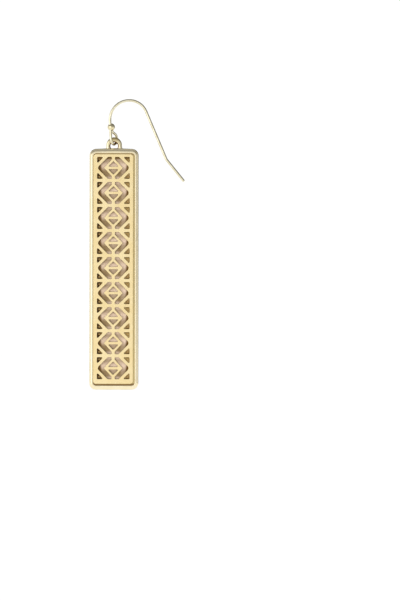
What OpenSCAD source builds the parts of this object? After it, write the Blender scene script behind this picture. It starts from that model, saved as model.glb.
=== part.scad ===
// Long bar drop earring on a bent ear wire.
// A cast tray with a domed rim holds a pierced plate over a plain inlay, and hangs by its eyelet
// from the loop of the wire. Millimetres, +Z up, +X to the right as it is looked at, front towards -Y.
// The origin is on the underside of the wire at the crest of its hook, where it rests in the ear.

/* [Ear wire] */
// Diameter of the wire
wire_d = 0.7; // [0.6:0.05:0.8]
// Radius of the hook's front quarter, at the wire's middle line
front_r = 5.0; // [4.5:0.1:5.5]
// Radius of the hook's back shoulder, at the wire's middle line
back_r = 4.7; // [4.2:0.1:5.2]
// Angle of the tail below the level
tail_slope = 67; // [62:1:72]
// Straight length of the tail, from the shoulder to the kink
tail_len = 13.2; // [10:0.1:15]
// Angle by which the tail's end kicks outwards
kick_turn = 16; // [8:1:24]
// Bend radius of the kick
kick_r = 2.0; // [1:0.1:4]
// Straight length of the tail's end
end_len = 6.7; // [5:0.1:8]
// Angle by which the shank leans in under the hook
shank_lean = 3; // [0:1:5]
// Straight length from the hook to the loop's round bottom
shank_len = 4.7; // [4.5:0.05:5.2]
// Radius of the loop's round bottom, at the wire's middle line
loop_r = 1.4; // [1.35:0.05:1.5]
// Angle that the loop is turned out of the hook's plane
loop_turn = 58; // [55:1:62]
// Angle from the upright at which the loop's return leans to the shank
return_lean = 65; // [60:1:68]
// Radius of the bend where the return comes upright again
return_r = 0.45; // [0.4:0.05:0.5]

/* [Bead] */
// Diameter of the bead that closes the loop
bead_d = 1.95; // [1.9:0.05:2.1]
// Depth of the bead's middle below the shank's start
bead_drop = 1.65; // [1.5:0.05:1.7]

/* [Frame] */
// Width of the frame
frame_w = 12.7; // [12:0.1:14]
// Height of the frame, without its eyelet
frame_h = 62.3; // [62:0.1:64]
// Thickness of the frame, from its back to the top of its rim
frame_t = 2.4; // [2.3:0.1:3]
// Radius of the frame's corners
frame_corner_r = 1.7; // [1.4:0.1:2]
// Width of the rim along the sides
rim_side_w = 0.93; // [0.85:0.01:1]
// Width of the rim at the top and bottom
rim_end_w = 1.12; // [0.95:0.01:1.2]
// Radius that rounds the rim's outer edge
rim_outer_r = 0.55; // [0.3:0.05:0.6]
// Radius that rounds the rim's inner edge
rim_inner_r = 0.2; // [0.1:0.05:0.25]
// Radius that rounds the back's edge
back_edge_r = 0.3; // [0.2:0.05:0.5]
// Thickness of the frame's closed back
back_t = 0.6; // [0.5:0.05:0.8]

/* [Eyelet] */
// Width of the eyelet
eyelet_w = 4.04; // [3.8:0.02:4.2]
// Height of the eyelet above the frame
eyelet_rise = 3.05; // [2.9:0.05:3.2]
// Thickness of the eyelet from front to back
eyelet_t = 1.0; // [0.9:0.05:1.1]
// Diameter of the eyelet's hole
eye_d = 1.95; // [1.9:0.05:2.1]
// Height of the hole's middle above the frame
eye_rise = 0.77; // [0.7:0.01:0.9]

/* [Pierced plate] */
// Width of the pierced plate
plate_w = 10.3; // [10.2:0.05:10.4]
// Height of the pierced plate
plate_h = 59.4; // [59:0.1:59.6]
// Thickness of the pierced plate
plate_t = 0.5; // [0.4:0.05:0.6]
// Depth of the plate's face below the rim
plate_sink = 0.2; // [0.1:0.05:0.3]
// Radius of the plate's corners
plate_corner_r = 0.75; // [0.5:0.05:0.9]
// Number of pierced cells, one above the other
cell_count = 9; // [5:1:9]
// Distance from one cell to the next
cell_pitch = 6.475; // [6.3:0.005:6.5]
// Distance that the row of cells lies above the plate's middle
cell_rise = 0.265; // [0:0.005:0.4]

/* [Inlay] */
// Thickness of the plain inlay behind the cells
inlay_t = 0.25; // [0.2:0.05:0.4]

/* [Hidden] */
$fn = 64;

// Clearances between the pieces
bore_gap = 0.02;
seat_gap = 0.02;
inlay_gap = 0.05;
hang_gap = 0.18;
cut_over = 0.5;

// A straight stretch of wire is a hair thinner than a bend and reaches a little way into it
run_slim = 0.002;
run_lap = 0.02;

// The hook's middle line, in its own plane: x to the right, y up
wire_r = wire_d / 2;
front_centre = [0, wire_r - front_r];
back_centre = [0, wire_r - back_r];
tail_start = back_centre + back_r * heading(90 - tail_slope);
kick_start = tail_start + tail_len * heading(-tail_slope);
kick_centre = kick_start + kick_r * heading(90 - tail_slope);
end_start = kick_centre + kick_r * heading(270 - tail_slope + kick_turn);
end_tip = end_start + end_len * heading(kick_turn - tail_slope);
shank_start = front_centre + front_r * heading(180 + shank_lean);

// The loop's middle line, in its own plane: x from the shank to the return, y up
strand_pitch = wire_d + bore_gap;
// Height above the bead's middle at which the return ends, inside the bead
stub_rise = 0.45;
loop_centre = [loop_r, -shank_len];
return_start = loop_centre + loop_r * heading(return_lean);
return_len = (loop_r * (1 + cos(return_lean)) - return_r * (1 - cos(return_lean)) - strand_pitch)
    / sin(return_lean);
bend_start = return_start + return_len * heading(90 + return_lean);
bend_centre = bend_start + return_r * heading(return_lean);
stub_start = bend_centre + return_r * heading(180);
stub_end_y = stub_rise - bead_drop;

// The bead covers both strands, a little past the middle between them
bead_centre_x = 0.42;

// The middle of the wire at the loop's bottom, where the eyelet hangs and the pendant swings
loop_bottom = [loop_r * cos(loop_turn), loop_r * sin(loop_turn), -shank_len - loop_r];
pivot = [
    shank_start.x + loop_bottom.x * cos(shank_lean) - loop_bottom.z * sin(shank_lean),
    loop_bottom.y,
    shank_start.y + loop_bottom.x * sin(shank_lean) + loop_bottom.z * cos(shank_lean)
];

// Heights in the pendant's own plane, measured from the pivot
eye_y = wire_r + hang_gap - eye_d / 2;
frame_top_y = eye_y - eye_rise;
frame_mid_y = frame_top_y - frame_h / 2;
arch_y = frame_top_y + eyelet_rise - eyelet_w / 2;
eyelet_edge_r = eyelet_t / 2;
eye_flare_r = 0.45;

// Depths in the pendant's own plane, towards the front
frame_front = frame_t / 2;
floor_z = back_t - frame_front;
plate_back_z = frame_front - plate_sink - plate_t;
ledge_z = plate_back_z - seat_gap;

// The recess for the plate, and the narrower pocket behind its cells
recess_w = frame_w - 2 * rim_side_w;
recess_h = frame_h - 2 * rim_end_w;
recess_corner_r = 0.9;
pocket_w = 8.8;
pocket_h = 58.4;
pocket_corner_r = 0.6;

// The plate sits a little towards the upper left of its recess
plate_shift = [-0.2, 0.08];

// The row of cells lies a hair to the right of the plate's middle
cell_shift = 0.05;

// The openings of one cell, measured from its middle
cell_reach_x = 4.22;
cell_reach_y = 2.83;
corner_leg = 1.72;
opening_r = 0.24;
chevron_tip_x = 4.24;
chevron_tip_r = 0.7;
chevron_end_x = 0.4;
chevron_inner_x = 2.44;
chevron_inner_y = 2.21;
chevron_inner_r = 0.15;
wedge_apex_y = 1.76;
wedge_base_y = 0.33;
wedge_r = 0.2;
arc_steps = 4;

function heading(angle) = [cos(angle), sin(angle)];

// The points that round the corner b of an outline, between a and c, to radius r
function round_corner(a, b, c, r) =
    let (
        to_a = (a - b) / norm(a - b),
        to_c = (c - b) / norm(c - b),
        half = acos(to_a * to_c) / 2,
        middle = (to_a + to_c) / norm(to_a + to_c),
        centre = b + middle * r / sin(half),
        first = b + to_a * r / tan(half) - centre,
        side = sign(to_a.x * to_c.y - to_a.y * to_c.x),
        sweep = -side * (180 - 2 * half),
        start = atan2(first.y, first.x)
    )
    [for (k = [0:arc_steps]) centre + r * heading(start + sweep * k / arc_steps)];

// An outline with each corner rounded to its own radius; corners is a list of [point, radius]
function round_outline(corners) =
    let (n = len(corners))
    [for (i = [0:n - 1])
        each round_corner(corners[(i + n - 1) % n][0], corners[i][0], corners[(i + 1) % n][0], corners[i][1])];

// One of a cell's corner openings, in the upper right
corner_opening = round_outline([
    [[cell_reach_x, cell_reach_y], opening_r],
    [[cell_reach_x - corner_leg, cell_reach_y], opening_r],
    [[cell_reach_x, cell_reach_y - corner_leg], opening_r]
]);

// The chevron opening that points right
chevron_opening = round_outline([
    [[chevron_tip_x, 0], chevron_tip_r],
    [[chevron_tip_x - cell_reach_y, cell_reach_y], opening_r],
    [[chevron_end_x, cell_reach_y], opening_r],
    [[chevron_end_x, chevron_inner_y], wedge_r],
    [[chevron_inner_x, 0], chevron_inner_r],
    [[chevron_end_x, -chevron_inner_y], wedge_r],
    [[chevron_end_x, -cell_reach_y], opening_r],
    [[chevron_tip_x - cell_reach_y, -cell_reach_y], opening_r]
]);

// The upper of the two openings in the cell's middle
wedge_opening = round_outline([
    [[0, wedge_apex_y], wedge_r],
    [[wedge_apex_y - wedge_base_y, wedge_base_y], wedge_r],
    [[wedge_base_y - wedge_apex_y, wedge_base_y], wedge_r]
]);

// A bent stretch of wire, from angle start on through sweep
module wire_arc(centre, r, start, sweep) {
    translate(centre)
        rotate_extrude(angle = sweep, start = start)
            translate([r, 0])
                circle(d = wire_d);
}

// A straight stretch of wire, lapped into the bends at both ends
module wire_run(from, angle, length) {
    translate(from)
        rotate([0, 90, angle])
            translate([0, 0, -run_lap])
                cylinder(r = wire_r - run_slim, h = length + 2 * run_lap);
}

// Places the loop and the bead at the end of the hook, turned out of the hook's plane
module at_shank() {
    translate([shank_start.x, 0, shank_start.y])
        rotate([0, -shank_lean, 0])
            rotate([0, 0, loop_turn])
                rotate([90, 0, 0])
                    children();
}

// Places the pendant's pieces on the wire at the loop's bottom
module at_pivot() {
    translate(pivot)
        rotate([90, 0, 0])
            children();
}

module hook() {
    rotate([90, 0, 0]) {
        wire_arc(front_centre, front_r, 90, 90 + shank_lean);
        wire_arc(back_centre, back_r, 90 - tail_slope, tail_slope);
        wire_run(tail_start, -tail_slope, tail_len);
        wire_arc(kick_centre, kick_r, 270 - tail_slope, kick_turn);
        wire_run(end_start, kick_turn - tail_slope, end_len);
        translate(end_tip)
            sphere(d = wire_d);
    }
}

module loop() {
    at_shank() {
        wire_run([0, 0], -90, shank_len);
        wire_arc(loop_centre, loop_r, 180, 180 + return_lean);
        wire_run(return_start, 90 + return_lean, return_len);
        wire_arc(bend_centre, return_r, 180, return_lean);
        wire_run(stub_start, 90, stub_end_y - stub_start.y);
    }
}

module ear_wire() {
    color("darkkhaki") {
        hook();
        loop();
    }
}

// A bore for one strand of the wire through the bead, from below up to the height top
module strand_bore(x, top) {
    translate([x, -bead_drop - bead_d, 0])
        rotate([-90, 0, 0])
            cylinder(r = wire_r + bore_gap, h = top + bead_drop + bead_d);
}

module wire_bead() {
    color("khaki")
        at_shank()
            difference() {
                translate([bead_centre_x, -bead_drop, 0])
                    sphere(d = bead_d);
                strand_bore(0, bead_d);
                strand_bore(strand_pitch, stub_end_y + bore_gap);
            }
}

// The edge of a slab, from the middle of its corner arc outwards: reach is the corner's radius,
// and the back and front edges are rounded
module slab_edge(reach, t, back_r, front_r) {
    translate([0, back_r])
        square([reach, t - back_r - front_r]);
    square([reach - back_r, t - front_r]);
    square([reach - front_r, t]);
    translate([reach - back_r, back_r])
        circle(back_r);
    translate([reach - front_r, t - front_r])
        circle(front_r);
}

// The edge of a cutter whose mouth flares over a rounded edge of radius flare_r
module flared_edge(reach, depth, flare_r) {
    square([reach, depth]);
    translate([0, depth])
        square([reach + flare_r, cut_over]);
    translate([reach, depth - flare_r])
        difference() {
            square(flare_r);
            translate([flare_r, 0])
                circle(flare_r);
        }
}

// A slab with round corners whose edge is the child profile, swept round a w by h rectangle
module swept_slab(w, h, corner_r, t) {
    inner_w = w - 2 * corner_r;
    inner_h = h - 2 * corner_r;
    translate([-inner_w / 2, -inner_h / 2, 0])
        cube([inner_w, inner_h, t]);
    for (turn = [0, 180]) {
        rotate([0, 0, turn])
            translate([inner_w / 2, inner_h / 2, 0]) {
                rotate([90, 0, 0])
                    linear_extrude(inner_h)
                        children();
                rotate_extrude(angle = 90)
                    children();
            }
        rotate([0, 0, turn + 90])
            translate([inner_h / 2, inner_w / 2, 0]) {
                rotate([90, 0, 0])
                    linear_extrude(inner_w)
                        children();
                rotate_extrude(angle = 90)
                    children();
            }
    }
}

// A flat rectangle with round corners
module round_rectangle(w, h, r) {
    square([w - 2 * r, h], center = true);
    square([w, h - 2 * r], center = true);
    for (x = [r - w / 2, w / 2 - r], y = [r - h / 2, h / 2 - r])
        translate([x, y])
            circle(r);
}

// The frame's body: a round-edged slab with a recess for the plate and a pocket behind it
module tray() {
    difference() {
        translate([0, 0, -frame_front])
            swept_slab(frame_w, frame_h, frame_corner_r, frame_t)
                slab_edge(frame_corner_r, frame_t, back_edge_r, rim_outer_r);
        translate([0, 0, ledge_z])
            swept_slab(recess_w, recess_h, recess_corner_r, frame_front - ledge_z + cut_over)
                flared_edge(recess_corner_r, frame_front - ledge_z, rim_inner_r);
        translate([0, 0, floor_z])
            linear_extrude(frame_t)
                round_rectangle(pocket_w, pocket_h, pocket_corner_r);
    }
}

// The eyelet: a round-edged arch on a short neck, with a hole whose mouths flare
module eyelet() {
    difference() {
        union() {
            translate([0, arch_y, 0])
                rotate_extrude() {
                    translate([0, -eyelet_t / 2])
                        square([eyelet_w / 2 - eyelet_edge_r, eyelet_t]);
                    translate([eyelet_w / 2 - eyelet_edge_r, 0])
                        circle(eyelet_edge_r);
                }
            translate([0, frame_top_y - eyelet_edge_r, 0])
                rotate([-90, 0, 0])
                    linear_extrude(arch_y - frame_top_y + eyelet_edge_r) {
                        square([eyelet_w - eyelet_t, eyelet_t], center = true);
                        for (x = [eyelet_edge_r - eyelet_w / 2, eyelet_w / 2 - eyelet_edge_r])
                            translate([x, 0])
                                circle(eyelet_edge_r);
                    }
        }
        translate([0, eye_y, 0]) {
            linear_extrude(2 * eyelet_t, center = true)
                circle(d = eye_d);
            for (side = [0, 1])
                mirror([0, 0, side])
                    rotate_extrude()
                        flared_edge(eye_d / 2, eyelet_t / 2, eye_flare_r);
        }
    }
}

module frame() {
    color("gold")
        at_pivot() {
            translate([0, frame_mid_y, 0])
                tray();
            eyelet();
        }
}

module inlay() {
    color("rosybrown")
        at_pivot()
            translate([0, frame_mid_y, floor_z + seat_gap])
                linear_extrude(inlay_t)
                    round_rectangle(pocket_w - 2 * inlay_gap, pocket_h - 2 * inlay_gap,
                        pocket_corner_r - inlay_gap);
}

// The eight openings of one cell
module cell_openings() {
    for (flip_x = [0, 1])
        mirror([flip_x, 0]) {
            polygon(chevron_opening);
            for (flip_y = [0, 1])
                mirror([0, flip_y])
                    polygon(corner_opening);
        }
    for (flip_y = [0, 1])
        mirror([0, flip_y])
            polygon(wedge_opening);
}

module pierced_plate() {
    color("palegoldenrod")
        at_pivot()
            translate([plate_shift.x, frame_mid_y + plate_shift.y, plate_back_z])
                linear_extrude(plate_t)
                    difference() {
                        round_rectangle(plate_w, plate_h, plate_corner_r);
                        for (k = [0:cell_count - 1])
                            translate([cell_shift, cell_rise + cell_pitch * (k - (cell_count - 1) / 2)])
                                cell_openings();
                    }
}

ear_wire();
wire_bead();
frame();
inlay();
pierced_plate();
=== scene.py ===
# Looks of the long bar drop earring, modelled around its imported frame.
# Row frame: +Z up, +X to the right as the earring is looked at, front towards -Y, origin under the crest
# of the hook.
# Sizes with a name of their own are in millimetres; MM turns them into Blender's metres.
import math

import bmesh
import bpy
from mathutils import Matrix, Vector


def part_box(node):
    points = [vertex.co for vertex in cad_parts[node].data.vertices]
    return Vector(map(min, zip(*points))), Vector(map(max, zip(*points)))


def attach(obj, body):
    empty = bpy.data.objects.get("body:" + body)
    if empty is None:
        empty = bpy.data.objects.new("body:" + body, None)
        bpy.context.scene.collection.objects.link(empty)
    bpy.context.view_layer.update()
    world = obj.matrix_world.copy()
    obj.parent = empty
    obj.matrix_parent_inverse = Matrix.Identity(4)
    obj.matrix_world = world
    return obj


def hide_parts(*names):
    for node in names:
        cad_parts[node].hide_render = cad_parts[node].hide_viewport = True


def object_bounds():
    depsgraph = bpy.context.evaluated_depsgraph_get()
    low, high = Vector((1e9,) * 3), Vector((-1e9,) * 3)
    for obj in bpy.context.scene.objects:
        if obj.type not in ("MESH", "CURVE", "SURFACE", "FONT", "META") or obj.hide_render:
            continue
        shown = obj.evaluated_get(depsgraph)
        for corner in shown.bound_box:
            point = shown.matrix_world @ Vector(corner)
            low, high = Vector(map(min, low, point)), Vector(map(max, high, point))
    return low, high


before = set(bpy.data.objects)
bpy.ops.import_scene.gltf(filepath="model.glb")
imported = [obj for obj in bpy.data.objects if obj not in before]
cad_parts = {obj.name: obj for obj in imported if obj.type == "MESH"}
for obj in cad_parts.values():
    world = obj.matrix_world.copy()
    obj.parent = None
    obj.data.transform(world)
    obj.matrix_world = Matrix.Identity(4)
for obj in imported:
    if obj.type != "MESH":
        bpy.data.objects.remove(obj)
cad_low, cad_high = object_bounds()

MM = 0.001
FRONT = Vector((0, -1, 0))

# How near counts as touching, how near counts as one row of points, and how near points are welded
NEAR = 0.01
SAME_ROW = 0.002
WELD = 0.0001
# A face looks along an axis where its normal reaches this far along it
FACING = 0.9
FLAT_ANGLE = math.radians(1)
SHARP_ANGLE = math.radians(50)
BEVEL_STEPS = 3

# Ear wire
WIRE_R = 0.35
FRONT_R = 5.0
BACK_R = 4.7
TAIL_SLOPE = 67
TAIL_LEN = 13.2
KICK_TURN = 16
KICK_R = 2.0
END_LEN = 6.7
SHANK_LEAN = 3
SHANK_LEN = 4.7
LOOP_R = 1.4
LOOP_TURN = 58
RETURN_LEAN = 65
RETURN_R = 0.45
STRAND_PITCH = 0.72
STUB_RISE = 0.45
WIRE_SIDES = 28
BEND_STEP = 5
FEWEST_BEND_STEPS = 3
DOME_STEPS = 5
WIRE_SMOOTH_ANGLE = 60

# Bead
BEAD_R = 0.975
BEAD_DROP = 1.65
BEAD_SHIFT = 0.42
BEAD_SIDES = 48
BEAD_RINGS = 32
# The cups: how far out of the bead's skin a cup's ball sits, in parts of its radius, and its softened edge
CUP_R = 0.5
CUP_OUT = 0.62
CUP_SIDES = 32
CUP_RINGS = 16
CUP_EDGE = 0.04
CUP_SHARP_ANGLE = math.radians(35)

# Frame casting
CORNER_R = 1.7
RIM_SIDE_W = 0.93
RIM_END_W = 1.12
RIM_SLOPE_W = 0.62
RIM_END_SLOPE_W = 0.8
RIM_SLOPE_FULLNESS = 0.34
RIM_INNER_R = 0.12
BACK_EDGE_R = 0.3
RECESS_CORNER_R = 0.9
POCKET_W = 8.8
POCKET_H = 58.4
POCKET_CORNER_R = 0.6
CROWN = 0.2
CROWN_STEPS = 4
CORNER_STEPS = 10
EDGE_STEPS = 6
CASTING_SMOOTH_ANGLE = 35

# Eyelet
EYELET_W = 4.04
EYELET_RISE = 3.05
EYELET_T = 1.0
EYE_D = 1.95
EYE_RISE = 0.77
EYELET_EDGE = 0.47
EYELET_SIDES = 64
# The eyelet's foot, section by section: height above the frame's top, and how many times as wide
EYELET_FOOT = [(0.9, 1.0), (0.6, 1.01), (0.4, 1.03), (0.2, 1.07), (-0.3, 1.12), (-0.95, 1.12)]

# Pierced plate, with one cell's openings measured from its middle
PLATE_CORNER_R = 0.75
CELL_COUNT = 9
CELL_PITCH = 6.475
CELL_RISE = 0.265
CELL_SHIFT = 0.05
REACH_X = 4.22
REACH_Y = 2.83
CORNER_LEG = 1.72
OPENING_R = 0.24
CHEVRON_TIP_X = 4.24
CHEVRON_TIP_R = 0.7
CHEVRON_END_X = 0.4
CHEVRON_INNER_X = 2.44
CHEVRON_INNER_Y = 2.21
CHEVRON_INNER_R = 0.15
WEDGE_APEX_Y = 1.76
WEDGE_BASE_Y = 0.33
WEDGE_R = 0.2
ROUND_STEPS = 6
# The inner angles of the openings' corners, in degrees
SHARP_CORNER = 45
SQUARE_CORNER = 90
BLUNT_CORNER = 135
LIP = 0.05
PLATE_SMOOTH_ANGLE = 40
# The tools that cut the openings: how much larger than a cell their block is, and how many plates deep
TOOL_SPARE = 2
TOOL_DEPTH = 4

# Camera: the photograph is 400 by 600 pixels, and one millimetre of the earring is nearly four of them
PHOTO_W = 400
PHOTO_H = 600
PX_PER_MM = 3.868
CREST_PX = (129.35, 100.4)
PHOTO_LEAN = 0.09
LENS = 200.0
SENSOR = 36.0
CLIP_NEAR = 50
CLIP_FAR = 20000

# Stage: the floor, the soft key light, and the black flags by two of their corners
FLOOR_DROP = 58.0
FLOOR_SIZE = 8000
FLOOR_GLOW = 0.6
FLOOR_PAINT = (0.9, 0.9, 0.9, 1)
FLAG_BLACK = (0.03, 0.03, 0.03, 1)
DULL = 0.9
KEY_PLACE = (-380, -540, 40)
KEY_AIM = (-4, 0, -40)
KEY_SIZE = 450
KEY_POWER = 0.8
RIGHT_FLAG = ((500, 250, -130), (510, 1400, 500))
TOP_FLAG = ((-500, 200, 500), (500, 1400, 510))

# The surroundings' light: the direction's share along an axis where a change starts and ends, then the
# strength on its two sides
FRONT_TO_BACK = (-0.6, 0.1, 0.8, 1.05)
LEVEL_TO_CEILING = (0.2, 0.65, 1, 0.45)
MIDDLE_TO_RIGHT = (0.15, 0.8, 1, 0.55)
LEFT_TO_MIDDLE = (-0.8, -0.15, 0.95, 1)


def only(piece):
    """Leaves this piece selected and active, and nothing else."""
    bpy.ops.object.select_all(action="DESELECT")
    piece.select_set(True)
    bpy.context.view_layer.objects.active = piece


def modify(piece, kind, **settings):
    """Adds a modifier, sets it and applies it."""
    only(piece)
    modifier = piece.modifiers.new(kind, kind)
    for name, value in settings.items():
        setattr(modifier, name, value)
    bpy.ops.object.modifier_apply(modifier=modifier.name)


def settle(name):
    """Names the piece that was just added, and moves its place into its mesh."""
    piece = bpy.context.object
    piece.name = piece.data.name = name
    only(piece)
    bpy.ops.object.transform_apply(location=True, rotation=True, scale=True)
    return piece


def joined(pieces, name):
    """Several pieces as one."""
    only(pieces[0])
    for piece in pieces:
        piece.select_set(True)
    bpy.ops.object.join()
    return settle(name)


def combine(piece, tool, operation):
    """Adds a tool piece to a piece, or cuts it away, and removes the tool."""
    modify(piece, "BOOLEAN", object=tool, operation=operation, solver="EXACT")
    bpy.data.objects.remove(tool)


def soften(piece, width, angle):
    """Rounds all the edges of a piece that are sharper than this angle."""
    modify(
        piece, "BEVEL", width=width * MM, segments=BEVEL_STEPS, limit_method="ANGLE", angle_limit=angle
    )


class Shaping:
    """Edit mode on one piece, with nothing selected at the start. Places and lengths are in millimetres."""

    def __init__(self, piece):
        self.piece = piece

    def __enter__(self):
        only(self.piece)
        bpy.ops.object.mode_set(mode="EDIT")
        bpy.ops.mesh.select_all(action="DESELECT")
        return self

    def __exit__(self, *problem):
        bpy.ops.object.mode_set(mode="OBJECT")

    def _pick(self, kind, parts, passes):
        bpy.ops.mesh.select_mode(type=kind)
        bpy.ops.mesh.select_all(action="DESELECT")
        mesh = bmesh.from_edit_mesh(self.piece.data)
        for part in getattr(mesh, parts):
            if passes(part):
                part.select_set(True)
        mesh.select_flush_mode()
        bmesh.update_edit_mesh(self.piece.data)

    def pick_points(self, test):
        """Selects the points that pass the test."""
        self._pick("VERT", "verts", lambda v: test(v.co / MM))

    def pick_edges(self, test, kind=lambda e: True):
        """Selects the edges of a kind whose two end points both pass the test."""
        self._pick("EDGE", "edges", lambda e: kind(e) and all(test(v.co / MM) for v in e.verts))

    def pick_rims(self, test):
        """Selects the open edges whose two end points both pass the test."""
        self.pick_edges(test, lambda e: e.is_boundary)

    def pick_sharp(self, angle, test):
        """Selects the edges sharper than this angle whose two end points both pass the test."""
        self.pick_edges(test, lambda e: e.calc_face_angle(0) > angle)

    def pick_deep(self, depth):
        """Selects the edges that run more than this far from front to back."""
        self._pick("EDGE", "edges", lambda e: abs(e.verts[0].co.y - e.verts[1].co.y) > depth * MM)

    def pick_faces(self, test):
        """Selects the faces whose middle and normal pass the test."""
        self._pick("FACE", "faces", lambda f: test(f.calc_center_median() / MM, f.normal))

    def pick_all(self):
        """Selects everything."""
        bpy.ops.mesh.select_all(action="SELECT")

    def cut(self, point, outward, clear=True):
        """Cuts the whole piece by a plane, and by default closes it there and drops what lies outwards."""
        self.pick_all()
        bpy.ops.mesh.bisect(plane_co=Vector(point) * MM, plane_no=outward, use_fill=clear, clear_outer=clear)

    def round_off(self, width, steps, fullness=0.5):
        """Rounds the selected edges."""
        bpy.ops.mesh.bevel(
            offset=width * MM, segments=steps, profile=fullness, affect="EDGES", clamp_overlap=False
        )

    def extrude(self, by):
        """Pulls out the selection along a vector."""
        bpy.ops.mesh.extrude_region_move(TRANSFORM_OT_translate={"value": Vector(by) * MM})

    def resize(self, by, about):
        """Scales the selection along X, Y and Z about a place."""
        bpy.ops.transform.resize(value=by, center_override=Vector(about) * MM)

    def face_outwards(self):
        """Welds double points and turns every face outwards."""
        self.pick_all()
        bpy.ops.mesh.remove_doubles(threshold=WELD * MM)
        bpy.ops.mesh.normals_make_consistent(inside=False)


def block(name, size, centre, corner_r=0):
    """A block with its size along X, Y and Z. A radius rounds its edges that run from front to back."""
    bpy.ops.mesh.primitive_cube_add(size=1, location=Vector(centre) * MM, scale=Vector(size) * MM)
    piece = settle(name)
    if corner_r:
        with Shaping(piece) as shaping:
            shaping.pick_deep(size[1] / 2)
            shaping.round_off(corner_r, CORNER_STEPS)
    return piece


def middle_and_size(node):
    """The middle and the size of a CAD node's box, in millimetres."""
    low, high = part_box(node)
    return (low + high) / 2 / MM, (high - low) / MM


def smooth(piece, angle):
    """Smooth shading up to an angle in degrees. Large flat faces stay flat beside their round edges."""
    only(piece)
    bpy.ops.object.shade_smooth_by_angle(angle=math.radians(angle))
    modify(piece, "WEIGHTED_NORMAL", mode="FACE_AREA", keep_sharp=True)


def turned(vector, angle, axis):
    """A vector turned about an axis by an angle in degrees."""
    return Matrix.Rotation(math.radians(angle), 3, axis) @ Vector(vector)


class WireBender:
    """Feeds and bends the open end of a round wire, as a maker does with pliers. Angles are in degrees."""

    def __init__(self, shaping, point, direction, normal):
        self.shaping = shaping
        self.point = Vector(point)
        self.direction = Vector(direction).normalized()
        self.normal = Vector(normal).normalized()

    def feed(self, length):
        """Feeds a straight length of wire."""
        step = self.direction * length
        self.shaping.extrude(step)
        self.point += step

    def bend(self, radius, angle):
        """Bends the wire to its left, seen with the plane's normal towards the viewer, or by a negative
        angle to its right."""
        side = self.normal.cross(self.direction) * math.copysign(radius, angle)
        centre = self.point + side
        steps = max(FEWEST_BEND_STEPS, round(abs(angle) / BEND_STEP))
        bpy.ops.mesh.spin(steps=steps, angle=-math.radians(angle), center=centre * MM, axis=self.normal)
        self.point = centre + turned(-side, angle, self.normal)
        self.direction = turned(self.direction, angle, self.normal)

    def turn_plane(self, angle):
        """Turns the bending plane about the wire."""
        self.normal = turned(self.normal, angle, self.direction)

    def dome(self, radius):
        """Rounds off the wire's end."""
        for k in range(1, DOME_STEPS + 1):
            before = math.pi / 2 * (k - 1) / DOME_STEPS
            after = math.pi / 2 * k / DOME_STEPS
            self.feed(radius * (math.sin(after) - math.sin(before)))
            if k < DOME_STEPS:
                shrink = math.cos(after) / math.cos(before)
                self.shaping.resize((shrink, shrink, shrink), self.point)
        bpy.ops.mesh.merge(type="CENTER")


def model_ear_wire():
    """The ear wire: from the hook's crest to the loop and its return, then from the crest to the tail."""
    crest = Vector((0, 0, WIRE_R))
    bpy.ops.mesh.primitive_circle_add(
        vertices=WIRE_SIDES,
        radius=WIRE_R * MM,
        fill_type="NOTHING",
        location=crest * MM,
        rotation=(0, math.pi / 2, 0),
    )
    wire = settle("ear_wire_drawn")
    # The return runs until it lies one pitch beside the shank; its rise counts from the shank's start
    lean = math.radians(RETURN_LEAN)
    return_len = (
        LOOP_R * (1 + math.cos(lean)) - RETURN_R * (1 - math.cos(lean)) - STRAND_PITCH
    ) / math.sin(lean)
    return_rise = (
        LOOP_R * math.sin(lean) - SHANK_LEN + return_len * math.cos(lean) + RETURN_R * math.sin(lean)
    )
    with Shaping(wire) as shaping:
        shaping.pick_all()
        front = WireBender(shaping, crest, (-1, 0, 0), FRONT)
        front.bend(FRONT_R, 90 + SHANK_LEAN)
        shank_start = front.point.copy()
        front.feed(SHANK_LEN)
        front.turn_plane(-LOOP_TURN)
        loop_side = front.normal.cross(front.direction)
        front.bend(LOOP_R, 180 + RETURN_LEAN)
        front.feed(return_len)
        front.bend(RETURN_R, -RETURN_LEAN)
        front.feed(STUB_RISE - BEAD_DROP - return_rise)
        bpy.ops.mesh.edge_face_add()
        shaping.pick_rims(lambda p: abs(p.x) < WIRE_R / 10)
        back = WireBender(shaping, crest, (1, 0, 0), FRONT)
        back.bend(BACK_R, -TAIL_SLOPE)
        back.feed(TAIL_LEN)
        back.bend(KICK_R, KICK_TURN)
        back.feed(END_LEN)
        back.dome(WIRE_R)
        shaping.face_outwards()
    smooth(wire, WIRE_SMOOTH_ANGLE)
    return wire, shank_start, loop_side


def ball(name, sides, rings, radius, middle):
    """A ball with its radius and its middle in millimetres."""
    bpy.ops.mesh.primitive_uv_sphere_add(
        segments=sides, ring_count=rings, radius=radius * MM, location=middle * MM
    )
    return settle(name)


def model_bead(shank_start, loop_side):
    """The bead that closes the loop, with a small cup round each strand where it goes in."""
    shank_down = turned((0, 0, -1), -SHANK_LEAN, (0, 1, 0))
    middle = shank_start + shank_down * BEAD_DROP + loop_side * BEAD_SHIFT
    bead = ball("closing_bead", BEAD_SIDES, BEAD_RINGS, BEAD_R, middle)
    for side, way in ((0, -1), (0, 1), (STRAND_PITCH, 1)):
        off = side - BEAD_SHIFT
        reach = math.sqrt(BEAD_R**2 - off**2) + CUP_R * CUP_OUT
        cup_middle = middle + loop_side * off + shank_down * way * reach
        combine(bead, ball("cup", CUP_SIDES, CUP_RINGS, CUP_R, cup_middle), "DIFFERENCE")
    soften(bead, CUP_EDGE, CUP_SHARP_ANGLE)
    smooth(bead, WIRE_SMOOTH_ANGLE)
    return bead


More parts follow.
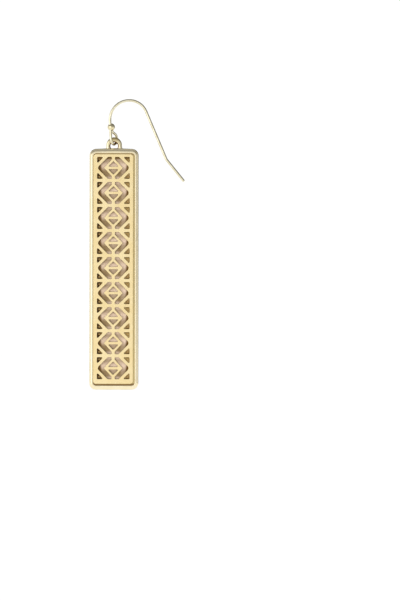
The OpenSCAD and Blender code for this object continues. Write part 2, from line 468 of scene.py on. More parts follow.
def model_eye(middle):
    """The tool that cuts the eyelet's eye. Its flared ends leave the ring with round edges."""
    bpy.ops.mesh.primitive_cylinder_add(
        vertices=EYELET_SIDES,
        radius=EYE_D / 2 * MM,
        depth=(EYELET_T - 2 * EYELET_EDGE) * MM,
        location=middle * MM,
        rotation=(math.pi / 2, 0, 0),
    )
    eye = settle("eye")
    with Shaping(eye) as shaping:
        for way in (-1, 1):
            shaping.pick_faces(lambda p, n: n.y * way > FACING and (p.y - middle.y) * way > 0)
            radius = EYE_D / 2
            for k in range(1, EDGE_STEPS + 1):
                before = math.pi / 2 * (k - 1) / EDGE_STEPS
                after = math.pi / 2 * k / EDGE_STEPS
                shaping.extrude((0, way * EYELET_EDGE * (math.sin(after) - math.sin(before)), 0))
                wider = EYE_D / 2 + EYELET_EDGE * (1 - math.cos(after))
                shaping.resize((wider / radius, 1, wider / radius), middle)
                radius = wider
            shaping.extrude((0, way * EYELET_EDGE, 0))
        shaping.face_outwards()
    return eye


def model_eyelet(middle_x, middle_y, top):
    """The eyelet's arch on its flared foot, with round edges outside and inside."""
    arch_z = top + EYELET_RISE - EYELET_W / 2
    bpy.ops.mesh.primitive_cylinder_add(
        vertices=EYELET_SIDES,
        radius=EYELET_W / 2 * MM,
        depth=EYELET_T * MM,
        location=Vector((middle_x, middle_y, arch_z)) * MM,
        rotation=(math.pi / 2, 0, 0),
    )
    arch = settle("eyelet")
    with Shaping(arch) as shaping:
        shaping.cut((middle_x, middle_y, arch_z), (0, 0, -1))
        shaping.pick_faces(lambda p, n: n.z < -FACING)
        level, wide = arch_z, 1.0
        for rise, widen in EYELET_FOOT:
            shaping.extrude((0, 0, top + rise - level))
            level = top + rise
            shaping.resize((widen / wide, 1, 1), (middle_x, middle_y, level))
            wide = widen
        shaping.face_outwards()
        shaping.pick_sharp(SHARP_ANGLE, lambda p: p.z > level + NEAR)
        shaping.round_off(EYELET_EDGE, EDGE_STEPS)
    combine(arch, model_eye(Vector((middle_x, middle_y, top + EYE_RISE))), "DIFFERENCE")
    return arch


def widen_end_slopes(shaping, middle, height):
    """Makes the rim's outer slope wider at the two ends than along the sides, row by row."""
    mesh = bmesh.from_edit_mesh(shaping.piece.data)
    rows = sorted({round(v.co.y / MM, 3) for v in mesh.verts})
    for row in rows:
        reach = max(v.co.z / MM - middle.z for v in mesh.verts if abs(v.co.y / MM - row) < SAME_ROW)
        inset = height / 2 - reach
        if inset < SAME_ROW / 2:
            continue
        shaping.pick_points(lambda p: abs(p.y - row) < SAME_ROW)
        stretch = (height / 2 - inset * RIM_END_SLOPE_W / RIM_SLOPE_W) / reach
        shaping.resize((1, 1, stretch), middle)
        mesh = bmesh.from_edit_mesh(shaping.piece.data)


def model_casting():
    """The frame: a round-edged tray with a domed rim and a slightly crowned top, and the eyelet on it."""
    _, size = middle_and_size("frame")
    low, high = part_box("frame")
    width, thickness = size.x, size.y
    height = size.z - EYELET_RISE
    top = high.z / MM - EYELET_RISE
    middle = Vector(((low.x + high.x) / 2 / MM, (low.y + high.y) / 2 / MM, top - height / 2))
    face = middle.y - thickness / 2
    ledge_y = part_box("pierced_plate")[1].y / MM
    floor_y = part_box("inlay")[1].y / MM
    casting = block("frame_casting", size=(width, thickness, height), centre=middle, corner_r=CORNER_R)
    with Shaping(casting) as shaping:
        shaping.pick_edges(lambda p: p.y < face + NEAR)
        shaping.round_off(RIM_SLOPE_W, EDGE_STEPS, RIM_SLOPE_FULLNESS)
        widen_end_slopes(shaping, middle, height)
        shaping.pick_edges(lambda p: p.y > face + thickness - NEAR)
        shaping.round_off(BACK_EDGE_R, EDGE_STEPS)
        straight = width / 2 - CORNER_R
        for k in range(1 - CROWN_STEPS, CROWN_STEPS):
            shaping.cut((middle.x + straight * k / CROWN_STEPS, 0, 0), (1, 0, 0), clear=False)
        crown_z = top - RIM_END_SLOPE_W - NEAR
        shaping.pick_points(lambda p: abs(p.x - middle.x) < NEAR and p.z > crown_z)
        bpy.ops.transform.translate(
            value=(0, 0, CROWN * MM),
            use_proportional_edit=True,
            proportional_edit_falloff="SMOOTH",
            proportional_size=width / 2 * MM,
        )
        shaping.face_outwards()
    recess = block(
        "recess",
        size=(width - 2 * RIM_SIDE_W, 2 * (ledge_y - face), height - 2 * RIM_END_W),
        centre=(middle.x, face, middle.z),
        corner_r=RECESS_CORNER_R,
    )
    combine(casting, recess, "DIFFERENCE")
    pocket = block(
        "pocket",
        size=(POCKET_W, 2 * (floor_y - face), POCKET_H),
        centre=(middle.x, face, middle.z),
        corner_r=POCKET_CORNER_R,
    )
    combine(casting, pocket, "DIFFERENCE")
    with Shaping(casting) as shaping:
        inner_w = width / 2 - RIM_SIDE_W + NEAR
        inner_h = height / 2 - RIM_END_W + NEAR
        shaping.pick_edges(
            lambda p: p.y < face + NEAR and abs(p.x - middle.x) < inner_w and abs(p.z - middle.z) < inner_h
        )
        shaping.round_off(RIM_INNER_R, EDGE_STEPS)
    combine(casting, model_eyelet(middle.x, middle.y, top), "UNION")
    smooth(casting, CASTING_SMOOTH_ANGLE)
    return casting


def carved(name, size, planes):
    """A prism that runs from front to back, cut out of a block by planes. Each plane has a point (x, z) and
    the direction (x, z) of the side that is cut away."""
    piece = block(name, size=size, centre=(0, 0, 0))
    with Shaping(piece) as shaping:
        for (x, z), (out_x, out_z) in planes:
            shaping.cut((x, 0, z), Vector((out_x, 0, out_z)).normalized())
    return piece


def round_edge(piece, x, z, radius, inner_angle):
    """Rounds the edge that runs from front to back through (x, z), where two faces meet at the inner angle
    in degrees."""
    width = radius / math.tan(math.radians(inner_angle / 2))
    with Shaping(piece) as shaping:
        shaping.pick_edges(lambda p: abs(p.x - x) < NEAR and abs(p.z - z) < NEAR)
        shaping.round_off(width, ROUND_STEPS)


def model_openings(thickness):
    """The tools that pierce one cell, about the world's origin: corner triangles, chevrons and wedges."""
    cell = (2 * REACH_X + TOOL_SPARE, TOOL_DEPTH * thickness, 2 * REACH_Y + TOOL_SPARE)
    start_x = REACH_X - CORNER_LEG
    start_z = REACH_Y - CORNER_LEG
    corner = carved(
        "corner_opening",
        cell,
        [((REACH_X, 0), (1, 0)), ((0, REACH_Y), (0, 1)), ((start_x, REACH_Y), (-1, -1))],
    )
    round_edge(corner, REACH_X, REACH_Y, OPENING_R, SQUARE_CORNER)
    round_edge(corner, start_x, REACH_Y, OPENING_R, SHARP_CORNER)
    round_edge(corner, REACH_X, start_z, OPENING_R, SHARP_CORNER)
    modify(corner, "MIRROR", use_axis=(True, False, True), use_mirror_merge=False)

    wedge = carved(
        "wedge_opening",
        cell,
        [((0, WEDGE_BASE_Y), (0, -1)), ((0, WEDGE_APEX_Y), (1, 1)), ((0, WEDGE_APEX_Y), (-1, 1))],
    )
    base_x = WEDGE_APEX_Y - WEDGE_BASE_Y
    round_edge(wedge, 0, WEDGE_APEX_Y, WEDGE_R, SQUARE_CORNER)
    round_edge(wedge, base_x, WEDGE_BASE_Y, WEDGE_R, SHARP_CORNER)
    round_edge(wedge, -base_x, WEDGE_BASE_Y, WEDGE_R, SHARP_CORNER)
    modify(wedge, "MIRROR", use_axis=(False, False, True), use_mirror_merge=False)

    inner_run = CHEVRON_INNER_X - CHEVRON_END_X
    inner_slope = math.degrees(math.atan2(CHEVRON_INNER_Y, inner_run))
    chevron = carved(
        "chevron_opening",
        cell,
        [
            ((0, REACH_Y), (0, 1)),
            ((0, 0), (0, -1)),
            ((CHEVRON_TIP_X, 0), (1, 1)),
            ((CHEVRON_END_X, 0), (-1, 0)),
            ((CHEVRON_INNER_X, 0), (-CHEVRON_INNER_Y, -inner_run)),
        ],
    )
    with Shaping(chevron) as shaping:
        shaping.pick_faces(lambda p, n: n.z < -FACING and abs(p.z) < NEAR)
        bpy.ops.mesh.delete(type="ONLY_FACE")
    modify(chevron, "MIRROR", use_axis=(False, False, True), merge_threshold=NEAR * MM)
    with Shaping(chevron) as shaping:
        shaping.pick_all()
        bpy.ops.mesh.dissolve_limited(angle_limit=FLAT_ANGLE)
    outer_x = CHEVRON_TIP_X - REACH_Y
    round_edge(chevron, CHEVRON_TIP_X, 0, CHEVRON_TIP_R, 90)
    round_edge(chevron, CHEVRON_INNER_X, 0, CHEVRON_INNER_R, 2 * inner_slope)
    for way in (-1, 1):
        round_edge(chevron, outer_x, way * REACH_Y, OPENING_R, BLUNT_CORNER)
        round_edge(chevron, CHEVRON_END_X, way * REACH_Y, OPENING_R, SQUARE_CORNER)
        round_edge(chevron, CHEVRON_END_X, way * CHEVRON_INNER_Y, WEDGE_R, SQUARE_CORNER + inner_slope)
    modify(chevron, "MIRROR", use_axis=(True, False, False), use_mirror_merge=False)
    return joined([corner, wedge, chevron], "cell_openings")


def model_plate():
    """The pierced plate: one cell's openings, repeated along it and cut through, with softened lips."""
    middle, size = middle_and_size("pierced_plate")
    plate = block("lattice_plate", size=size, centre=middle, corner_r=PLATE_CORNER_R)
    openings = model_openings(size.y)
    modify(
        openings,
        "ARRAY",
        count=CELL_COUNT,
        use_relative_offset=False,
        use_constant_offset=True,
        constant_offset_displace=(0, 0, CELL_PITCH * MM),
    )
    first_z = middle.z + CELL_RISE - CELL_PITCH * (CELL_COUNT - 1) / 2
    openings.location = Vector((middle.x + CELL_SHIFT, middle.y, first_z)) * MM
    combine(plate, openings, "DIFFERENCE")
    soften(plate, LIP, SHARP_ANGLE)
    smooth(plate, PLATE_SMOOTH_ANGLE)
    return plate


def dress(piece, node, body):
    """The piece stands for a CAD node, whose own mesh is hidden, and rides on its body."""
    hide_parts(node)
    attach(piece, body)


class Flow:
    """A number, colour or vector that flows out of a shader node. A formula on it adds the maths nodes."""

    def __init__(self, mix, socket):
        self.mix = mix
        self.socket = socket

    def _maths(self, operation, first, second):
        return self.mix.node("ShaderNodeMath", {"operation": operation}, {0: first, 1: second})

    def __add__(self, other):
        return self._maths("ADD", self, other)

    def __sub__(self, other):
        return self._maths("SUBTRACT", self, other)

    def __mul__(self, other):
        return self._maths("MULTIPLY", self, other)

    def __rsub__(self, other):
        return self._maths("SUBTRACT", other, self)

    __radd__ = __add__
    __rmul__ = __mul__


class Mixture:
    """The nodes of one material or of the studio's surroundings."""

    def __init__(self, owner):
        owner.use_nodes = True
        self.tree = owner.node_tree

    def node(self, kind, settings=None, feeds=None, out=0):
        """Adds a node, with its settings and what feeds its sockets, and gives back one of its outputs."""
        node = self.tree.nodes.new(kind)
        for name, value in (settings or {}).items():
            setattr(node, name, value)
        for name, value in (feeds or {}).items():
            self.feed(node.inputs[name], value)
        return Flow(self, node.outputs[out])

    def feed(self, socket, value):
        """Links a flow to a socket, or sets the socket to a value."""
        if isinstance(value, Flow):
            self.tree.links.new(value.socket, socket)
        else:
            socket.default_value = value

    def clouds(self, grain, detail=2, rough=0.5, along=1):
        """Soft noise from 0 to 1. Its grains are about this many millimetres across. They are drawn out along
        Z where along is under 1."""
        place = self.node("ShaderNodeTexCoord", out="Object")
        place = self.node("ShaderNodeMapping", None, {"Vector": place, "Scale": (1, 1, along)})
        feeds = {"Vector": place, "Scale": 1 / (grain * MM), "Detail": detail, "Roughness": rough}
        return self.node("ShaderNodeTexNoise", None, feeds)

    def span(self, value, low, high, to_low=0, to_high=1):
        """Carries a value from one span to another, smoothly and no further."""
        feeds = {"Value": value, "From Min": low, "From Max": high, "To Min": to_low, "To Max": to_high}
        return self.node("ShaderNodeMapRange", {"interpolation_type": "SMOOTHSTEP"}, feeds)

    def blend(self, share, first, second):
        """Goes from the first colour to the second."""
        first = (*first, 1) if isinstance(first, tuple) else first
        second = (*second, 1) if isinstance(second, tuple) else second
        return self.node("ShaderNodeMix", {"data_type": "RGBA"}, {0: share, 6: first, 7: second}, out=2)

    def relief(self, height, depth):
        """A bump of this many millimetres where the height goes from 0 to 1."""
        return self.node("ShaderNodeBump", None, {"Height": height, "Distance": depth * MM, "Strength": 1})


class Metal(Mixture):
    """A plated metal finish."""

    def __init__(self, name):
        self.material = bpy.data.materials.new(name)
        super().__init__(self.material)
        self.shader = self.tree.nodes["Principled BSDF"]
        self.shader.inputs["Metallic"].default_value = 1

    def set(self, **values):
        """Feeds the shader's sockets, named with underscores for spaces."""
        for name, value in values.items():
            self.feed(self.shader.inputs[name.replace("_", " ")], value)

    def behind(self, place, start, end):
        """0 in front and 1 behind, changing between two depths behind a place along Y, all in millimetres."""
        point = self.node("ShaderNodeTexCoord", out="Object")
        depth = self.node("ShaderNodeSeparateXYZ", None, {0: point}, out="Y")
        return self.span(depth, (place + start) * MM, (place + end) * MM)

    def from_middle(self, middle):
        """How far a place lies across and along from a middle, all in millimetres."""
        feeds = {0: self.node("ShaderNodeTexCoord", out="Object"), 1: Vector(middle) * MM}
        offset = self.node("ShaderNodeVectorMath", {"operation": "SUBTRACT"}, feeds)
        across = self.node("ShaderNodeSeparateXYZ", None, {0: offset}, out="X") * (1 / MM)
        along = self.node("ShaderNodeSeparateXYZ", None, {0: offset}, out="Z") * (1 / MM)
        return across, along

    def size_of(self, value):
        """The value without its sign."""
        return self.node("ShaderNodeMath", {"operation": "ABSOLUTE"}, {0: value})

    def larger(self, first, second):
        """The larger of two values."""
        return self.node("ShaderNodeMath", {"operation": "MAXIMUM"}, {0: first, 1: second})

    def repeat(self, value, length):
        """The value counted from the middle of the nearest of many stretches of this length."""
        return self.node("ShaderNodeMath", {"operation": "WRAP"}, {0: value, 1: length / 2, 2: -length / 2})

    def wave(self, value, length):
        """A cosine wave of this length."""
        return self.node("ShaderNodeMath", {"operation": "COSINE"}, {0: value * (math.tau / length)})

    def away(self, across, along):
        """The straight distance from both offsets."""
        return self.node("ShaderNodeMath", {"operation": "SQRT"}, {0: across * across + along * along})

    def mottled(self, noise, first, second):
        """The first colour with soft patches of the second."""
        return self.blend(self.span(noise, *NOISE_PATCHES), first, second)

    def beyond(self, middle, half_width, half_height):
        """How many millimetres a place lies outside a rectangle seen from the front; under 0 inside it."""
        across, along = self.from_middle(middle)
        return self.larger(self.size_of(across) - half_width, self.size_of(along) - half_height)

    def onto(self, piece):
        """Makes this the piece's only material."""
        piece.data.materials.clear()
        piece.data.materials.append(self.material)


# Colours
PLATE_GOLD = (0.93, 0.745, 0.39)
PLATE_GOLD_PALE = (0.955, 0.79, 0.45)
CAST_GOLD = (0.93, 0.825, 0.58)
CAST_GOLD_DEEP = (0.91, 0.795, 0.535)
# Painted shade: the eyelet's darker gold, and the darker gold on the top of its arch
EYELET_SHADE_GOLD = (0.76, 0.67, 0.43)
ARCH_SHADE_GOLD = (0.52, 0.42, 0.21)
BACK_GOLD = (0.79, 0.66, 0.40)
WIRE_GOLD = (0.80, 0.75, 0.56)
WIRE_GOLD_DEEP = (0.72, 0.66, 0.46)
BEAD_GOLD = (0.76, 0.66, 0.40)
ROSE = (0.96, 0.735, 0.555)
ROSE_DEEP = (0.90, 0.68, 0.505)
# From here to the end of the colours, painted shade and light: browns for painted shade in the recesses, the
# eye and the inlay's cells, amber for the lit right corners, and a pale painted light spot
ROSE_SHADE_BROWN = (0.33, 0.225, 0.11)
RECESS_SHADE_BROWN = (0.24, 0.135, 0.045)
RIM_RECESS_SHADE = (0.60, 0.47, 0.22)
TIP_SHADE_BROWN = (0.19, 0.10, 0.03)
CORNER_SHADE_BROWN = (0.13, 0.06, 0.012)
CORNER_OUTLINE_SHADE = (0.06, 0.025, 0.006)
CORNER_LIGHT_SPOT = (0.70, 0.50, 0.22)
RIGHT_CORNER_SHADE = (0.35, 0.205, 0.068)
RIGHT_CORNER_LIT = (0.45, 0.29, 0.095)

# The stretch of the noise that carries a change, for soft patches and for an even grain
NOISE_PATCHES = (0.35, 0.65)
NOISE_GRAIN = (0.3, 0.7)

# Each finish: how large its grain and patches are, its roughness from the smoothest to the roughest places,
# and how deep its relief is
PLATE_GRAIN = 0.09
PLATE_PATCH = 4.0
PLATE_ROUGH = (0.30, 0.42)
PLATE_RELIEF = 0.002
CAST_WAVE = 2.5
CAST_WIPE = 0.35
CAST_WIPE_ALONG = 0.2
CAST_ROUGH = (0.16, 0.26)
CAST_RELIEF = 0.006
CAST_WAVES_SHARE = 0.7
BACK_ROUGHER = 0.14
WIRE_GRAIN = 0.12
WIRE_BLOTCH = 1.2
WIRE_ROUGH = (0.14, 0.24)
WIRE_RELIEF = 0.001
BEAD_PATCH = 0.6
BEAD_ROUGH = (0.12, 0.2)
ROSE_PATCH = 3.0
ROLLED_GRAIN = 0.15
ROLLED_ALONG = 0.15
ROSE_ROUGH = (0.30, 0.40)
DOME_RELIEF = 0.05
ROSE_PATCH_RELIEF = 0.02
ROLLED_RELIEF = 0.002

# From here on, a change is given by where it starts and ends, in millimetres from the place that its
# comment names, and then, where it doesn't go from 0 to 1, by its two strengths.

# Painted brown shade in depth: where it starts behind the plate's face, and where it ends behind the inlay's
# back and outside the recess
SHADE_DEPTH = (LIP, 0.3)
FLOOR_END = (0.05, 0.1)
RECESS_END = (0.02, 0.1)
# Darker painted shade at the ends of the recess, inwards from its end, and how dark that shade is from the
# bottom end to the top end
END_WALL = (-0.6, -0.4)
END_WALL_SHARES = (-1.0, 1.0, 0.85, 0.5)
# Painted shade: darker gold above the frame's top, and darker still on the arch
EYELET_FADE = (0.1, 0.9)
ARCH_FADE = (1.8, 2.5)
# Painted brown shade in the eye, outwards from its wall, and how far it reaches past the eyelet's two faces
EYE_FADE = (0.36, 0.2)
EYE_SHADE_PAST = 0.3
# Duller back, in front of the frame's back
BACK_FADE = (-0.35, -0.1)

# Inlay, from the middle of each cell. The band of painted shade across the lower half, and how it thins out
# in the middle, to the left and to the right
BAND_DROP = 1.55
BAND_FADE = (2.2, 0.5)
BAND_MIDDLE = (0.3, 1.5, 0.7, 1)
BAND_LEFT = (-1.0, 1.0, 0.86, 1)
BAND_RIGHT = (1.6, 2.3, 1, 0.74)
# The painted shade at the top, how it deepens in the middle, the painted shade on the left, and the clear
# joint between cells
TOP_FADE = (0.6, 2.0, 0, 0.57)
TOP_MIDDLE = (0.4, 1.2, 1.4, 1)
LEFT_SHADE = (1.0, -3.0, 0, 0.16)
JOINT_FADE = (2.8, 1.9, 0.1, 1)
# The painted brown shade at the tips: how far right their middle lies, where they start, and their lean and
# their height
TIP_SHIFT = 0.05
TIP_FADE = (2.9, 3.5)
TIP_LEAN = 0.15
TIP_HEIGHT = (1.6, 1.0)
# The painted brown shade at the ends of the inlay
SHADE_HALF_H = 28.7
END_FADE = (-0.5, 0)
# The painted shade in the corners: their long edge, their change from left to right and from low to high,
# the painted light spot in them, their lighter or darker two ends, and their dark painted outline
CORNER_FADE = (4.6, 5.2)
LEFT_TO_RIGHT = (-2.0, 2.0)
RIGHT_TO_LEFT = (2.0, -2.0)
LOW_TO_HIGH = (-1.0, 1.0)
SPOT_ACROSS = 3.72
SPOT_ALONG = 2.28
SPOT_FADE = (0.3, 0.05, 0, 0.6)
INNER_END_FADE = (3.5, 3.0, 0, 0.5)
OUTER_END_FADE = (2.1, 1.75)
OUTER_END_PALER = (0, 0.6)
OUTLINE_ACROSS = (3.88, 4.08)
OUTLINE_ALONG = (2.48, 2.7)
OUTLINE_SHARES = (0.35, 1)


def satin_plate_finish():
    """Fine-blasted gold: an even grain a tenth of a millimetre across, a little paler in soft patches, with
    painted brown shade on the walls of the openings and behind."""
    metal = Metal("satin_gold_plate")
    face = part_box("pierced_plate")[0].y / MM
    grain = metal.clouds(PLATE_GRAIN, rough=0.6)
    gold = metal.mottled(metal.clouds(PLATE_PATCH), PLATE_GOLD, PLATE_GOLD_PALE)
    # The walls of the openings and the plate behind its face take painted brown shade
    metal.set(
        Base_Color=metal.blend(metal.behind(face, *SHADE_DEPTH), gold, RECESS_SHADE_BROWN),
        Roughness=metal.span(grain, *NOISE_GRAIN, *PLATE_ROUGH),
        Normal=metal.relief(grain, PLATE_RELIEF),
    )
    return metal


def cast_finish():
    """Polished plating over a casting: nearly smooth, with the long shallow waves that hand polishing leaves,
    painted brown shade down in its recess and in the eye, painted shade that darkens the eyelet and more so
    its arch, and a duller back, where the wheel reaches less."""
    metal = Metal("polished_gold_casting")
    waves = metal.clouds(CAST_WAVE, detail=1, rough=0.4)
    wipes = metal.clouds(CAST_WIPE, detail=3, rough=0.6, along=CAST_WIPE_ALONG)
    gold = metal.mottled(waves, CAST_GOLD, CAST_GOLD_DEEP)
    low, high = (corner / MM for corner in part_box("frame"))
    half_width = (high.x - low.x) / 2
    half_height = (high.z - low.z - EYELET_RISE) / 2
    middle = (low + high) / 2 - Vector((0, 0, EYELET_RISE / 2))
    across, along = metal.from_middle(middle)

    above_top = along - half_height
    # Painted shade: the eyelet darker above the frame's top, and darker still on its arch
    gold = metal.blend(metal.span(above_top, *EYELET_FADE), gold, EYELET_SHADE_GOLD)
    gold = metal.blend(metal.span(above_top, *ARCH_FADE), gold, ARCH_SHADE_GOLD)
    # Painted brown shade in the eye, between the eyelet's two faces and a little past them
    off_wall = metal.away(across, above_top - EYE_RISE) - EYE_D / 2
    behind_front = metal.behind(middle.y - EYELET_T / 2, -EYE_SHADE_PAST, 0)
    behind_back = metal.behind(middle.y + EYELET_T / 2, 0, EYE_SHADE_PAST)
    eye_shade = metal.span(off_wall, *EYE_FADE) * behind_front * (1 - behind_back)
    gold = metal.blend(eye_shade, gold, RECESS_SHADE_BROWN)
    back = metal.behind(high.y, *BACK_FADE)
    gold = metal.blend(back, gold, BACK_GOLD)

    # Painted brown shade down in the recess, darker at its ends
    recess_h = half_height - RIM_END_W
    behind_face = metal.behind(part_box("pierced_plate")[0].y / MM, *SHADE_DEPTH)
    behind_floor = metal.behind(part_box("inlay")[1].y / MM, *FLOOR_END)
    outside = metal.span(metal.beyond(middle, half_width - RIM_SIDE_W, recess_h), *RECESS_END)
    recess_shade = behind_face * (1 - behind_floor) * (1 - outside)
    at_end = metal.span(metal.size_of(along) - recess_h, *END_WALL) * metal.span(along, *END_WALL_SHARES)
    shade_brown = metal.blend(at_end, RIM_RECESS_SHADE, RECESS_SHADE_BROWN)
    metal.set(
        Base_Color=metal.blend(recess_shade, gold, shade_brown),
        Roughness=metal.span(wipes, *NOISE_PATCHES, *CAST_ROUGH) + back * BACK_ROUGHER,
        Normal=metal.relief(waves * CAST_WAVES_SHARE + wipes * (1 - CAST_WAVES_SHARE), CAST_RELIEF),
    )
    return metal


def drawn_wire_finish():
    """Drawn wire under thin plating, bright with faint blotches."""
    metal = Metal("drawn_gold_wire")
    grain = metal.clouds(WIRE_GRAIN)
    metal.set(
        Base_Color=metal.mottled(metal.clouds(WIRE_BLOTCH), WIRE_GOLD, WIRE_GOLD_DEEP),
        Roughness=metal.span(grain, *NOISE_GRAIN, *WIRE_ROUGH),
        Normal=metal.relief(grain, WIRE_RELIEF),
    )
    return metal


def bead_finish():
    """A burnished bead, a little duller in patches."""
    metal = Metal("burnished_gold_bead")
    patches = metal.clouds(BEAD_PATCH)
    metal.set(
        Base_Color=metal.mottled(patches, BEAD_GOLD, WIRE_GOLD_DEEP),
        Roughness=metal.span(patches, *NOISE_GRAIN, *BEAD_ROUGH),
    )
    return metal


def corner_shade_colour(metal, across, off_side, along_cell, off_middle):
    """The painted shade in the corners of a cell: dark on the left and lit amber on the right, with a painted
    light spot and a dark painted outline, lighter at their inner ends, and at their outer ends darker on the
    left and lighter on the right."""
    right_shade = metal.blend(metal.span(along_cell, *LOW_TO_HIGH), RIGHT_CORNER_SHADE, RIGHT_CORNER_LIT)
    shade_brown = metal.blend(metal.span(across, *LEFT_TO_RIGHT), CORNER_SHADE_BROWN, right_shade)
    outer_end = metal.span(off_middle, *OUTER_END_FADE)
    outline = metal.larger(metal.span(off_side, *OUTLINE_ACROSS), metal.span(off_middle, *OUTLINE_ALONG))
    deeper_shade = metal.larger(
        outer_end * metal.span(across, *RIGHT_TO_LEFT),
        outline * metal.span(across, *RIGHT_TO_LEFT, *OUTLINE_SHARES),
    )
    off_spot = metal.larger(
        metal.size_of(off_side - SPOT_ACROSS),
        metal.size_of(off_middle - SPOT_ALONG),
    )
    painted_light = metal.larger(
        metal.larger(metal.span(off_spot, *SPOT_FADE), metal.span(off_side, *INNER_END_FADE)),
        outer_end * metal.span(across, *LEFT_TO_RIGHT, *OUTER_END_PALER),
    )
    return metal.blend(painted_light, metal.blend(deeper_shade, shade_brown, CORNER_OUTLINE_SHADE), CORNER_LIGHT_SPOT)


def rose_inlay_finish():
    """Rose gold sheet, pressed into a shallow dome behind each cell. Each cell has painted shade below its
    middle and towards its top, leaving it bright above its middle, and painted brown shade where it ends at
    the tips and the corners, with a painted light spot in the corners."""
    metal = Metal("rose_gold_inlay")
    middle, _ = middle_and_size("pierced_plate")
    across, along = metal.from_middle((middle.x + CELL_SHIFT, 0, middle.z + CELL_RISE))
    along_cell = metal.repeat(along, CELL_PITCH)
    off_line = metal.size_of(across)
    off_side = metal.size_of(across - TIP_SHIFT)
    off_middle = metal.size_of(along_cell)
    patches = metal.clouds(ROSE_PATCH)
    rolled = metal.clouds(ROLLED_GRAIN, along=ROLLED_ALONG)

    # Painted shade: a band across each cell's lower half and a darker top, with painted shade on the left
    shade_band = metal.span(metal.size_of(along_cell + BAND_DROP), *BAND_FADE) * metal.span(off_line, *BAND_MIDDLE)
    shade_band = shade_band * metal.span(across, *BAND_LEFT) * metal.span(across, *BAND_RIGHT)
    top = metal.span(along_cell, *TOP_FADE) * metal.span(off_line, *TOP_MIDDLE)
    painted_shade = metal.larger(shade_band, top) * metal.span(off_middle, *JOINT_FADE) + metal.span(across, *LEFT_SHADE)
    rose = metal.blend(painted_shade, metal.mottled(patches, ROSE, ROSE_DEEP), ROSE_SHADE_BROWN)
    # Painted shade and light in the corners of each cell
    corners = metal.span(off_side + off_middle, *CORNER_FADE)
    rose = metal.blend(corners, rose, corner_shade_colour(metal, across, off_side, along_cell, off_middle))
    # Painted brown shade at the tips
    tips = metal.span(off_side - along_cell * TIP_LEAN, *TIP_FADE) * metal.span(off_middle, *TIP_HEIGHT)
    rose = metal.blend(tips, rose, TIP_SHADE_BROWN)
    # Painted brown shade at the inlay's ends
    ends = metal.span(metal.beyond(middle, POCKET_W, SHADE_HALF_H), *END_FADE)
    dome = (metal.wave(along, CELL_PITCH) + 1) * 0.5
    metal.set(
        Base_Color=metal.blend(ends, rose, RECESS_SHADE_BROWN),
        Roughness=metal.span(rolled, *NOISE_GRAIN, *ROSE_ROUGH),
        Normal=metal.relief(dome * DOME_RELIEF + patches * ROSE_PATCH_RELIEF + rolled * ROLLED_RELIEF, 1),
    )
    return metal


wire, shank_start, loop_side = model_ear_wire()
bead = model_bead(shank_start, loop_side)
casting = model_casting()
plate = model_plate()
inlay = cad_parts["inlay"]

dress(wire, "ear_wire", "hook")
dress(bead, "wire_bead", "hook")
dress(casting, "frame", "pendant")
dress(plate, "pierced_plate", "pendant")

drawn_wire_finish().onto(wire)
bead_finish().onto(bead)
cast_finish().onto(casting)
satin_plate_finish().onto(plate)
rose_inlay_finish().onto(inlay)


def place_camera():
    """A long lens straight in front, turned by the lean that the earring has in the photograph."""
    data = bpy.data.cameras.new("photo_camera")
    camera = bpy.data.objects.new("photo_camera", data)
    bpy.context.scene.collection.objects.link(camera)
    data.lens = LENS
    data.sensor_width = SENSOR
    # The sensor's size counts along the photograph's longer side, which is its height
    view_h = PHOTO_H / PX_PER_MM
    distance = view_h * LENS / SENSOR
    lean = math.radians(PHOTO_LEAN)
    right = Vector((math.cos(lean), 0, math.sin(lean)))
    down = Vector((math.sin(lean), 0, -math.cos(lean)))
    crest = Vector((0, 0, WIRE_R))
    aim = (
        crest
        + right * (PHOTO_W / 2 - CREST_PX[0]) / PX_PER_MM
        + down * (PHOTO_H / 2 - CREST_PX[1]) / PX_PER_MM
    )
    place = aim + FRONT * distance
    back = FRONT
    up = -down
    side = up.cross(back)
    turn = Matrix((side, up, back)).transposed().to_4x4()
    camera.matrix_world = Matrix.Translation(place * MM) @ turn
    data.clip_start = CLIP_NEAR * MM
    data.clip_end = CLIP_FAR * MM
    bpy.context.scene.camera = camera


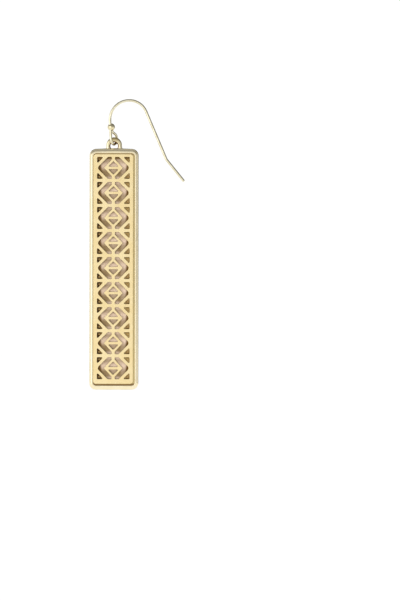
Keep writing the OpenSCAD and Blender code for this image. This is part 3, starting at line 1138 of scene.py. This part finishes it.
def softbox(name, place, size, power, aim):
    """A round studio light, placed and aimed in millimetres, that the camera doesn't see."""
    data = bpy.data.lights.new(name, "AREA")
    light = bpy.data.objects.new(name, data)
    bpy.context.scene.collection.objects.link(light)
    data.shape = "DISK"
    data.size = size * MM
    data.energy = power
    light.location = Vector(place) * MM
    light.rotation_euler = (Vector(aim) - Vector(place)).to_track_quat("-Z", "Y").to_euler()
    light.visible_camera = False


def painted(piece, name, colour):
    """Gives a piece of the studio a dull paint, and gives back its shader."""
    material = bpy.data.materials.new(name)
    material.use_nodes = True
    shader = material.node_tree.nodes["Principled BSDF"]
    shader.inputs["Base Color"].default_value = colour
    shader.inputs["Roughness"].default_value = DULL
    piece.data.materials.append(material)
    return shader


def pale_floor():
    """A white floor far below, which glows a little so that it meets the backdrop."""
    bpy.ops.mesh.primitive_plane_add(size=FLOOR_SIZE * MM, location=(0, 0, cad_low.z - FLOOR_DROP * MM))
    floor = settle("floor")
    shader = painted(floor, "pale_floor", FLOOR_PAINT)
    shader.inputs["Emission Color"].default_value = (1, 1, 1, 1)
    shader.inputs["Emission Strength"].default_value = FLOOR_GLOW


def flag(name, low, high):
    """A black card between two corners that only the metal sees: it darkens the edges of round forms."""
    low, high = Vector(low), Vector(high)
    card = block(name, size=high - low, centre=(low + high) / 2)
    painted(card, name, FLAG_BLACK)
    card.visible_camera = False
    card.visible_diffuse = False
    card.visible_shadow = False


def studio_surroundings():
    """White behind and below, with a dimmer front, and a grey ceiling and right side to mirror."""
    world = bpy.data.worlds.new("studio")
    sky = Mixture(world)
    split = sky.node("ShaderNodeSeparateXYZ", None, {0: sky.node("ShaderNodeTexCoord", out="Generated")})
    x, y, z = (Flow(sky, split.socket.node.outputs[axis]) for axis in "XYZ")
    light = sky.span(y, *FRONT_TO_BACK) * sky.span(z, *LEVEL_TO_CEILING)
    light = light * sky.span(x, *MIDDLE_TO_RIGHT) * sky.span(x, *LEFT_TO_MIDDLE)
    backdrop = sky.tree.nodes["Background"]
    backdrop.inputs["Color"].default_value = (1, 1, 1, 1)
    sky.feed(backdrop.inputs["Strength"], light)
    bpy.context.scene.world = world


place_camera()
bpy.context.scene.view_settings.view_transform = "Standard"
pale_floor()
studio_surroundings()
flag("right_flag", *RIGHT_FLAG)
flag("top_flag", *TOP_FLAG)
softbox("key_softbox", KEY_PLACE, KEY_SIZE, KEY_POWER, KEY_AIM)
